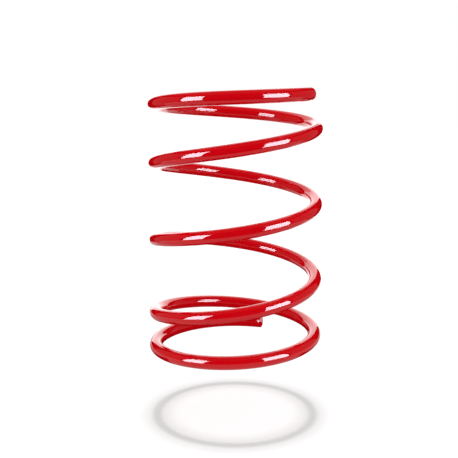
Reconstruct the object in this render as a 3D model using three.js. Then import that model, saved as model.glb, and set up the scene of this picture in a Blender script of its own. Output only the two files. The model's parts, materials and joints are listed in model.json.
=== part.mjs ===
// Suspension coil spring: one bar of round spring steel, wound right-handed into 4.73 turns and
// powder coated red. Millimetres, +Z up along the coil axis. The origin is on the coil axis, in the
// plane that the flat underside of the lowest turn rests on.
//
// The bar is a chain of short arcs. The lower and upper end coils keep their shape under load. Between
// them lie the active coils, which shorten because the wire twists a little all along its length, so
// they are divided into equal arcs that can each turn about the wire's own centre line.

import * as THREE from 'three';

// Driving dimensions.
const wireDiameter = 12;
const meanCoilDiameter = 150;
const totalTurns = 4.73;
const startAzimuth = 68.6; // degrees anticlockwise from +X, seen from above, at the lower wire end

// The pitch in mm per turn, along the winding. It changes evenly between stations. The bar starts
// with a short flat seat, climbs gently round the lower end coil, opens into the active coils, and
// closes again over the upper end coil.
const pitchLaw = [
  { turn: 0, pitch: 0 },
  { turn: 0.21, pitch: 0 },
  { turn: 0.35, pitch: 22 },
  { turn: 0.79, pitch: 22 },
  { turn: 1.49, pitch: 70.5 },
  { turn: 3.65, pitch: 70.5 },
  { turn: 4.07, pitch: 34 },
  { turn: 4.41, pitch: 34 },
  { turn: 4.55, pitch: 17 },
  { turn: totalTurns, pitch: 17 },
];

// How the bar is divided.
const lowerEndTurns = 0.615;
const arcsPerTurn = 4;
const activeArcCount = 14;
const arcGap = 0.4; // between one arc's end face and the next

// Smoothness of the solids.
const wireSides = 16;
const stepsPerTurn = 40;

const powderCoat = { color: 0xc4000f, roughness: 0.22, metalness: 0.05 };

// Height of the wire's centre line above its lower end, from the pitch law.
function climbAt(turn) {
  let climb = 0;
  for (let i = 1; i < pitchLaw.length; i += 1) {
    const from = pitchLaw[i - 1];
    const to = pitchLaw[i];
    const covered = Math.min(turn, to.turn) - from.turn;
    if (covered <= 0) break;
    const slope = (to.pitch - from.pitch) / (to.turn - from.turn);
    climb += covered * (from.pitch + (slope * covered) / 2);
  }
  return climb;
}

function azimuthAt(turn) {
  return THREE.MathUtils.degToRad(startAzimuth) + turn * 2 * Math.PI;
}

// The wire's centre line over one stretch of the winding, turned back so that it starts on +X at height 0.
class CoilPath extends THREE.Curve {
  constructor(fromTurn, toTurn) {
    super();
    this.fromTurn = fromTurn;
    this.toTurn = toTurn;
  }

  getPoint(t, target = new THREE.Vector3()) {
    const turn = THREE.MathUtils.lerp(this.fromTurn, this.toTurn, t);
    const angle = azimuthAt(turn) - azimuthAt(this.fromTurn);
    const radius = meanCoilDiameter / 2;
    const height = climbAt(turn) - climbAt(this.fromTurn);
    return target.set(radius * Math.cos(angle), radius * Math.sin(angle), height);
  }
}

// A regular polygon around the wire's round section, with a flat side facing down, up, in and out.
function makeWireSection() {
  const halfSide = Math.PI / wireSides;
  const cornerRadius = wireDiameter / 2 / Math.cos(halfSide);
  const section = new THREE.Shape();
  for (let i = 0; i < wireSides; i += 1) {
    const angle = (2 * i + 1) * halfSide;
    const x = cornerRadius * Math.cos(angle);
    const y = cornerRadius * Math.sin(angle);
    if (i === 0) section.moveTo(x, y);
    else section.lineTo(x, y);
  }
  section.closePath();
  return section;
}

// One solid stretch of the bar, in its place on the coil.
function makeWireArc(name, fromTurn, toTurn) {
  const geometry = new THREE.ExtrudeGeometry(makeWireSection(), {
    steps: Math.ceil((toTurn - fromTurn) * stepsPerTurn),
    extrudePath: new CoilPath(fromTurn, toTurn),
    bevelEnabled: false,
  });
  const mesh = new THREE.Mesh(geometry, new THREE.MeshStandardMaterial(powderCoat));
  mesh.name = name;
  mesh.position.z = wireDiameter / 2 + climbAt(fromTurn);
  mesh.rotation.z = azimuthAt(fromTurn);
  return mesh;
}

// Half the gap between two arcs, as a fraction of a turn.
const halfGap = arcGap / 2 / (Math.PI * meanCoilDiameter);
const activeStart = lowerEndTurns;
const activeEnd = lowerEndTurns + activeArcCount / arcsPerTurn;

function makeLowerEndCoil() {
  return makeWireArc('lower_end_coil', 0, activeStart - halfGap);
}

function makeActiveArc(index) {
  const fromTurn = activeStart + index / arcsPerTurn;
  const toTurn = fromTurn + 1 / arcsPerTurn;
  const name = `active_arc_${String(index + 1).padStart(2, '0')}`;
  return makeWireArc(name, fromTurn + halfGap, toTurn - halfGap);
}

function makeUpperEndCoil() {
  return makeWireArc('upper_end_coil', activeEnd + halfGap, totalTurns);
}

const coilSpring = new THREE.Group();
coilSpring.add(makeLowerEndCoil());
for (let index = 0; index < activeArcCount; index += 1) {
  coilSpring.add(makeActiveArc(index));
}
coilSpring.add(makeUpperEndCoil());

export default coilSpring;
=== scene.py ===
# The looks of a suspension coil spring: one bar of round steel with a glossy red powder coat.
# Everything is in metres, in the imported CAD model's frame: +Z up along the coil axis.

import json
import math

import bpy
import numpy as np
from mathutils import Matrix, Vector


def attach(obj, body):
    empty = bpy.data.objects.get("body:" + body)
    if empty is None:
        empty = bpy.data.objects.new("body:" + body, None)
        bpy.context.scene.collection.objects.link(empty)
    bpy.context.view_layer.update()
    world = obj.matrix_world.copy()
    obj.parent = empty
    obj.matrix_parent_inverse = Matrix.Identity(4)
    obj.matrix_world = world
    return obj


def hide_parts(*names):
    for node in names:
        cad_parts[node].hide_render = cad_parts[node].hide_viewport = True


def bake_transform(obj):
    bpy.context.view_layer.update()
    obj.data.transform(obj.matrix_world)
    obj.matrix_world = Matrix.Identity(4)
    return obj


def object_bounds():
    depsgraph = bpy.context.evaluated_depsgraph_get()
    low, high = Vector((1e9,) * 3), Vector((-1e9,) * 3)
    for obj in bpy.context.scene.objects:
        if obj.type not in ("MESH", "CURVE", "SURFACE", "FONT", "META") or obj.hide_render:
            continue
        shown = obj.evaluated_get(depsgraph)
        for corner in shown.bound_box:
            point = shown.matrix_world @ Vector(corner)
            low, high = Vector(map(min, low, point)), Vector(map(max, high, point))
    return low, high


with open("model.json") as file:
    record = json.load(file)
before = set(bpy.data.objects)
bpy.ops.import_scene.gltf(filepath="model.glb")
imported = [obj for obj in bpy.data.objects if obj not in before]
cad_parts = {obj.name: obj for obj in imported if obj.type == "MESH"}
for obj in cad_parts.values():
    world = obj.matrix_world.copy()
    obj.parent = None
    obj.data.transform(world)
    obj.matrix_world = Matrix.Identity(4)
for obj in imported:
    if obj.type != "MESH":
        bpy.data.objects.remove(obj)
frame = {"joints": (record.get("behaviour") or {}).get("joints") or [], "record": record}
cad_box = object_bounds()


# ---- Dimensions ----

mounts = {mount["name"]: mount for mount in frame["record"]["mounts"]}
lower_end_centre = Vector(mounts["lower_wire_end"]["pos_m"])
WIRE_RADIUS = lower_end_centre.z
COIL_RADIUS = lower_end_centre.to_2d().length
START_ANGLE = math.atan2(lower_end_centre.y, lower_end_centre.x)
METRES_PER_TURN = 2 * math.pi * COIL_RADIUS

# The pitch in metres per turn, along the winding. It changes evenly between stations.
PITCH_LAW = [
    (0.0, 0.0),
    (0.21, 0.0),
    (0.35, 0.022),
    (0.79, 0.022),
    (1.49, 0.0705),
    (3.65, 0.0705),
    (4.07, 0.034),
    (4.41, 0.034),
    (4.55, 0.017),
    (4.73, 0.017),
]
TOTAL_TURNS = PITCH_LAW[-1][0]

# The wire twists about one hinge at each of these places, a quarter of a turn apart.
FIRST_HINGE_TURN = 0.615
HINGE_SPACING = 0.25
HINGE_COUNT = len(frame["joints"])

# How far the edges of the two cut wire ends are rounded.
LOWER_END_ROUNDING = 0.0005
UPPER_END_ROUNDING = 0.0022

# Fineness of the mesh.
SIDES = 64
RINGS_PER_TURN = 320
EDGE_RINGS = 8
FACE_RINGS = 5


# ---- The winding ----

station_turns = np.array([turn for turn, _ in PITCH_LAW])
station_pitches = np.array([pitch for _, pitch in PITCH_LAW])
station_climbs = np.concatenate(
    ([0.0], np.cumsum(np.diff(station_turns) * (station_pitches[1:] + station_pitches[:-1]) / 2))
)


def climb_at(turn):
    """Height of the wire's centre line above its lower end."""
    span = np.clip(np.searchsorted(station_turns, turn, side="right") - 1, 0, len(PITCH_LAW) - 2)
    pitch = np.interp(turn, station_turns, station_pitches)
    covered = turn - station_turns[span]
    return station_climbs[span] + covered * (station_pitches[span] + pitch) / 2


def centre_at(turn):
    """The wire's centre."""
    angle = START_ANGLE + 2 * math.pi * turn
    return np.array(
        [COIL_RADIUS * math.cos(angle), COIL_RADIUS * math.sin(angle), WIRE_RADIUS + climb_at(turn)]
    )


def section_axes(turn):
    """The unit vectors outward from the coil axis, up across the wire, and along the wire."""
    angle = START_ANGLE + 2 * math.pi * turn
    outward = np.array([math.cos(angle), math.sin(angle), 0.0])
    rise = np.interp(turn, station_turns, station_pitches) / (2 * math.pi)
    along = np.array([-COIL_RADIUS * math.sin(angle), COIL_RADIUS * math.cos(angle), rise])
    along /= np.linalg.norm(along)
    return outward, np.cross(outward, along), along


# ---- The bar's surface, as rings of points across the wire ----
# A ring is (turn, radius, lean): lean turns its normals from straight out, at 0, to along the wire.


def wire_rings(from_turn, to_turn):
    """Rings of full width along a stretch of the bar."""
    count = max(2, round((to_turn - from_turn) * RINGS_PER_TURN) + 1)
    return [(turn, WIRE_RADIUS, 0.0) for turn in np.linspace(from_turn, to_turn, count)]


def end_rings(end_turn, side, rounding):
    """The flat face and the rounded edge of a cut wire end, from the face's middle outwards.
    side is -1 at the lower end and 1 at the upper end."""
    flat_radius = WIRE_RADIUS - rounding
    rings = []
    for i in range(1, FACE_RINGS):
        rings.append((end_turn, flat_radius * i / FACE_RINGS, side * math.pi / 2))
    for i in range(EDGE_RINGS, 0, -1):
        lean = math.pi / 2 * i / EDGE_RINGS
        setback = rounding * (1 - math.sin(lean)) / METRES_PER_TURN
        rings.append((end_turn - side * setback, flat_radius + rounding * math.cos(lean), side * lean))
    return rings


def ring_points(ring):
    """The ring's points and their normals."""
    turn, radius, lean = ring
    outward, up, along = section_axes(turn)
    angles = 2 * math.pi * np.arange(SIDES) / SIDES
    spokes = np.outer(np.cos(angles), outward) + np.outer(np.sin(angles), up)
    return centre_at(turn) + radius * spokes, math.cos(lean) * spokes + math.sin(lean) * along


def wall_faces(ring_count):
    """The faces between each ring and the next."""
    faces = []
    for row in range(ring_count - 1):
        for side in range(SIDES):
            following = (side + 1) % SIDES
            face = [
                row * SIDES + side,
                (row + 1) * SIDES + side,
                (row + 1) * SIDES + following,
                row * SIDES + following,
            ]
            faces.append(face)
    return faces


def fan_faces(row, middle):
    """Triangles from one ring to the vertex in its middle. They face out of the bar at either end."""
    faces = [[row * SIDES + side, row * SIDES + (side + 1) % SIDES, middle] for side in range(SIDES)]
    if row > 0:
        for face in faces:
            face.reverse()
    return faces


def make_bar(name, rings):
    """A closed piece of bar through the rings, with a fan of triangles over each end."""
    points, normals = zip(*(ring_points(ring) for ring in rings))
    vertices = list(np.concatenate(points))
    vertex_normals = list(np.concatenate(normals))
    faces = wall_faces(len(rings))
    corner_normals = [vertex_normals[index] for face in faces for index in face]
    for row, direction in ((0, -1), (len(rings) - 1, 1)):
        turn = rings[row][0]
        fan = fan_faces(row, len(vertices))
        vertices.append(centre_at(turn))
        faces.extend(fan)
        corner_normals.extend([direction * section_axes(turn)[2]] * 3 * len(fan))
    mesh = bpy.data.meshes.new(name)
    mesh.from_pydata([tuple(vertex) for vertex in vertices], [], faces, shade_flat=False)
    mesh.normals_split_custom_set([tuple(normal) for normal in corner_normals])
    mesh.update()
    piece = bpy.data.objects.new(name, mesh)
    bpy.context.scene.collection.objects.link(piece)
    return piece


# ---- Materials ----
# A noise scale is in cells per metre. A noise texture's detail is how many finer layers it adds.

NOISE_SPAN = (0.3, 0.7)  # where most of a noise texture's values lie
DEEP_RED = (0.56, 0.0006, 0.004, 1)
BRIGHT_RED = (0.62, 0.0016, 0.006, 1)
SHADE_NOISE_SCALE = 45
SMOOTHEST = 0.04
ROUGHEST = 0.055
GLOSS_NOISE_SCALE = 30
ORANGE_PEEL_STRENGTH = 0.12
ORANGE_PEEL_HEIGHT = 0.000004
ORANGE_PEEL_NOISE_SCALE = 420
COAT_IOR = 1.5


def noise(nodes, links, coordinate, scale, detail):
    node = nodes.new("ShaderNodeTexNoise")
    node.inputs["Scale"].default_value = scale
    node.inputs["Detail"].default_value = detail
    links.new(coordinate, node.inputs["Vector"])
    return node.outputs["Fac"]


def mapped(nodes, links, value, low, high, to_low, to_high):
    node = nodes.new("ShaderNodeMapRange")
    node.inputs["From Min"].default_value = low
    node.inputs["From Max"].default_value = high
    node.inputs["To Min"].default_value = to_low
    node.inputs["To Max"].default_value = to_high
    links.new(value, node.inputs["Value"])
    return node.outputs["Result"]


def make_powder_coat():
    """Glossy red, with faint patches of colour and gloss and the fine waves of orange peel."""
    material = bpy.data.materials.new("red_powder_coat")
    material.use_nodes = True
    nodes = material.node_tree.nodes
    links = material.node_tree.links
    shader = nodes["Principled BSDF"]
    place = nodes.new("ShaderNodeTexCoord").outputs["Object"]

    shade = nodes.new("ShaderNodeMix")
    shade.data_type = "RGBA"
    shade.inputs["A"].default_value = DEEP_RED
    shade.inputs["B"].default_value = BRIGHT_RED
    links.new(noise(nodes, links, place, SHADE_NOISE_SCALE, detail=3), shade.inputs["Factor"])
    links.new(shade.outputs["Result"], shader.inputs["Base Color"])

    gloss_noise = noise(nodes, links, place, GLOSS_NOISE_SCALE, detail=1)
    gloss = mapped(nodes, links, gloss_noise, *NOISE_SPAN, SMOOTHEST, ROUGHEST)
    links.new(gloss, shader.inputs["Roughness"])

    orange_peel = nodes.new("ShaderNodeBump")
    orange_peel.inputs["Strength"].default_value = ORANGE_PEEL_STRENGTH
    orange_peel.inputs["Distance"].default_value = ORANGE_PEEL_HEIGHT
    waves = noise(nodes, links, place, ORANGE_PEEL_NOISE_SCALE, detail=2)
    links.new(waves, orange_peel.inputs["Height"])
    links.new(orange_peel.outputs["Normal"], shader.inputs["Normal"])
    shader.inputs["IOR"].default_value = COAT_IOR
    return material


# ---- The spring ----


def make_end_coils(first_cut, last_cut):
    """The two end coils, each from its cut wire end to the nearest cut through the bar."""
    full_width_start = LOWER_END_ROUNDING / METRES_PER_TURN
    lower_rings = end_rings(0, -1, LOWER_END_ROUNDING) + wire_rings(full_width_start, first_cut)
    lower = make_bar("lower_end_bar", lower_rings)
    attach(lower, "lower_end")
    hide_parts("lower_end_coil")

    full_width_end = TOTAL_TURNS - UPPER_END_ROUNDING / METRES_PER_TURN
    upper_end_rings = end_rings(TOTAL_TURNS, 1, UPPER_END_ROUNDING)
    upper_rings = wire_rings(last_cut, full_width_end) + upper_end_rings[::-1]
    upper = make_bar("upper_end_bar", upper_rings)
    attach(upper, "upper_end")
    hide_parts("upper_end_coil")
    return [lower, upper]


def make_spring():
    """The bar, cut midway between hinges so that each hinge is in the middle of a piece of wire."""
    coat = make_powder_coat()
    cuts = [FIRST_HINGE_TURN + (k - 0.5) * HINGE_SPACING for k in range(HINGE_COUNT + 1)]

    pieces = make_end_coils(cuts[0], cuts[-1])
    for k in range(HINGE_COUNT):
        twist = make_bar(f"wire_twist_{k + 1:02d}", wire_rings(cuts[k], cuts[k + 1]))
        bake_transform(twist)
        if k + 1 < HINGE_COUNT:
            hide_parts(f"active_arc_{k + 1:02d}")
        pieces.append(twist)

    for piece in pieces:
        piece.data.materials.append(coat)


# ---- The studio ----
# The coat's gloss shows panels of white light that the camera doesn't see. Their radiances are on one
# scale, relative to each other. FILL is a world strength, where 1 is the white around the spring.

SOFTBOX = 18
SOFTBOX_TINT = (0.75, 1.0, 1.12)
BACKDROP = 2.2
UPPER_BACKDROP = 1.1
FRONT_TABLE = 0.62
SIDE_TABLE = 0.5
REAR_TABLE_LEFT = 0.8
REAR_TABLE_RIGHT = 1.2
SIDE_WALL = 0.21
CEILING = 0.12
FILL = 1.15

UP = (0, 0, 1)
DOWN = (0, 0, -1)
TOWARDS_CAMERA = (0, -1, 0)
TABLE_HEIGHT = -0.01
BACKDROP_DISTANCE = 0.35

FLOOR_DROP = 0.063  # how far the floor is below the spring
FLOOR_HALF_WIDTH = 6.0
FLOOR_GREY = (0.4, 0.4, 0.4, 1)
FLOOR_GLOW = 0.28
SHADOW_LIGHT_STRENGTH = 2.8
SHADOW_LIGHT_ANGLE = math.radians(7)

SENSOR_WIDTH = 36  # mm
FOCAL_LENGTH = 62.0  # mm
CAMERA_SHIFT_X = -0.0133
CAMERA_SHIFT_Y = -0.0507
CAMERA_DISTANCE = 0.7296
CAMERA_HEIGHT = 0.2427
CAMERA_TILT = 0.142  # radians, looking down


def make_floor_paint():
    """Grey paint with a glow for the camera alone, which brings the lit floor up to the white around it."""
    material = bpy.data.materials.new("white_floor")
    material.use_nodes = True
    nodes = material.node_tree.nodes
    links = material.node_tree.links
    shader = nodes["Principled BSDF"]
    shader.inputs["Base Color"].default_value = FLOOR_GREY
    shader.inputs["Roughness"].default_value = 1
    shader.inputs["Specular IOR Level"].default_value = 0
    shader.inputs["Emission Color"].default_value = (1, 1, 1, 1)
    camera_ray = nodes.new("ShaderNodeLightPath").outputs["Is Camera Ray"]
    glow = mapped(nodes, links, camera_ray, 0, 1, 0, FLOOR_GLOW)
    links.new(glow, shader.inputs["Emission Strength"])
    return material


def make_floor():
    half = FLOOR_HALF_WIDTH
    mesh = bpy.data.meshes.new("floor")
    corners = [(-half, -half), (half, -half), (half, half), (-half, half)]
    mesh.from_pydata([(x, y, cad_box[0].z - FLOOR_DROP) for x, y in corners], [], [(0, 1, 2, 3)])
    mesh.materials.append(make_floor_paint())
    floor = bpy.data.objects.new("floor", mesh)
    bpy.context.scene.collection.objects.link(floor)
    floor.visible_glossy = False
    return floor


def make_panel(name, middle, facing, width, height, radiance, tint=(1, 1, 1)):
    """A flat white panel that is seen only in the gloss of the coat. Its lit side looks along facing."""
    lamp = bpy.data.lights.new(name, "AREA")
    lamp.shape = "RECTANGLE"
    lamp.size = width
    lamp.size_y = height
    lamp.energy = radiance * math.pi * width * height
    lamp.color = tint
    panel = bpy.data.objects.new(name, lamp)
    panel.location = middle
    panel.rotation_euler = Vector(facing).to_track_quat("-Z", "Y").to_euler()
    panel.visible_camera = False
    panel.visible_diffuse = False
    bpy.context.scene.collection.objects.link(panel)


def make_softboxes():
    """The two tall soft lights, in front of the coil to its left and right."""
    make_panel(
        "softbox_left",
        middle=(-0.603, -0.443, 0.33),
        facing=(0.575, 0.47, 0),
        width=0.375,
        height=0.67,
        radiance=SOFTBOX,
        tint=SOFTBOX_TINT,
    )
    make_panel(
        "softbox_right",
        middle=(0.582, -0.464, 0.33),
        facing=(-0.575, 0.47, 0),
        width=0.45,
        height=0.67,
        radiance=SOFTBOX,
        tint=SOFTBOX_TINT,
    )


def make_backdrops():
    """The lit wall behind the coil, brighter low down."""
    make_panel(
        "backdrop",
        middle=(-0.02, BACKDROP_DISTANCE, 0.175),
        facing=TOWARDS_CAMERA,
        width=0.46,
        height=0.35,
        radiance=BACKDROP,
    )
    make_panel(
        "upper_backdrop",
        middle=(-0.02, BACKDROP_DISTANCE, 0.6),
        facing=TOWARDS_CAMERA,
        width=0.46,
        height=0.5,
        radiance=UPPER_BACKDROP,
    )


def make_table(name, middle_x, middle_y, width, depth, radiance):
    """A stretch of the lit white table round the coil, which the undersides of the wire show."""
    make_panel(name, (middle_x, middle_y, TABLE_HEIGHT), UP, width, depth, radiance)


def make_tables():
    make_table("front_table", 0, -0.175, width=1.2, depth=0.26, radiance=FRONT_TABLE)
    for side, name in ((-1, "side_table_left"), (1, "side_table_right")):
        make_table(name, side * 0.35, 0.03, width=0.5, depth=0.15, radiance=SIDE_TABLE)
    rear_tables = [(-1, "rear_table_left", REAR_TABLE_LEFT), (1, "rear_table_right", REAR_TABLE_RIGHT)]
    for side, name, radiance in rear_tables:
        make_table(name, side * 0.165, 0.235, width=0.23, depth=0.25, radiance=radiance)


def make_walls_and_ceiling():
    """The dim surfaces at the sides and above."""
    for side, name in ((-1, "side_wall_left"), (1, "side_wall_right")):
        make_panel(
            name,
            middle=(side * 0.6, 0.12, 0.25),
            facing=(-side, 0, 0),
            width=0.62,
            height=0.8,
            radiance=SIDE_WALL,
        )
    make_panel("ceiling", middle=(0, 0, 0.9), facing=DOWN, width=1.2, height=1.0, radiance=CEILING)


def make_reflections():
    make_softboxes()
    make_backdrops()
    make_tables()
    make_walls_and_ceiling()


def make_shadow_light(floor):
    """Light from straight above that only the floor receives. It throws the coil's ring-shaped shadow."""
    lamp = bpy.data.lights.new("shadow_light", "SUN")
    lamp.energy = SHADOW_LIGHT_STRENGTH
    lamp.angle = SHADOW_LIGHT_ANGLE
    sun = bpy.data.objects.new("shadow_light", lamp)
    bpy.context.scene.collection.objects.link(sun)
    lit = bpy.data.collections.new("lit_by_shadow_light")
    lit.objects.link(floor)
    sun.light_linking.receiver_collection = lit


def make_world():
    """White to the camera, a white fill light, and dark in the gloss, as a studio's unlit walls are."""
    world = bpy.data.worlds.new("studio")
    world.use_nodes = True
    nodes = world.node_tree.nodes
    links = world.node_tree.links
    ray = nodes.new("ShaderNodeLightPath")
    fill = mapped(nodes, links, ray.outputs["Is Glossy Ray"], 0, 1, FILL, 0)
    strength = nodes.new("ShaderNodeMix")
    strength.inputs["B"].default_value = 1
    links.new(ray.outputs["Is Camera Ray"], strength.inputs["Factor"])
    links.new(fill, strength.inputs["A"])
    background = nodes["Background"]
    background.inputs["Color"].default_value = (1, 1, 1, 1)
    links.new(strength.outputs["Result"], background.inputs["Strength"])
    bpy.context.scene.world = world


def make_camera():
    lens = bpy.data.cameras.new("camera")
    lens.sensor_width = SENSOR_WIDTH
    lens.lens = FOCAL_LENGTH
    lens.shift_x = CAMERA_SHIFT_X
    lens.shift_y = CAMERA_SHIFT_Y
    camera = bpy.data.objects.new("camera", lens)
    camera.location = (0, -CAMERA_DISTANCE, CAMERA_HEIGHT)
    camera.rotation_euler = (math.pi / 2 - CAMERA_TILT, 0, 0)
    bpy.context.scene.collection.objects.link(camera)
    bpy.context.scene.camera = camera


make_spring()
make_shadow_light(make_floor())
make_reflections()
make_world()
make_camera()
bpy.context.scene.view_settings.view_transform = "Standard"
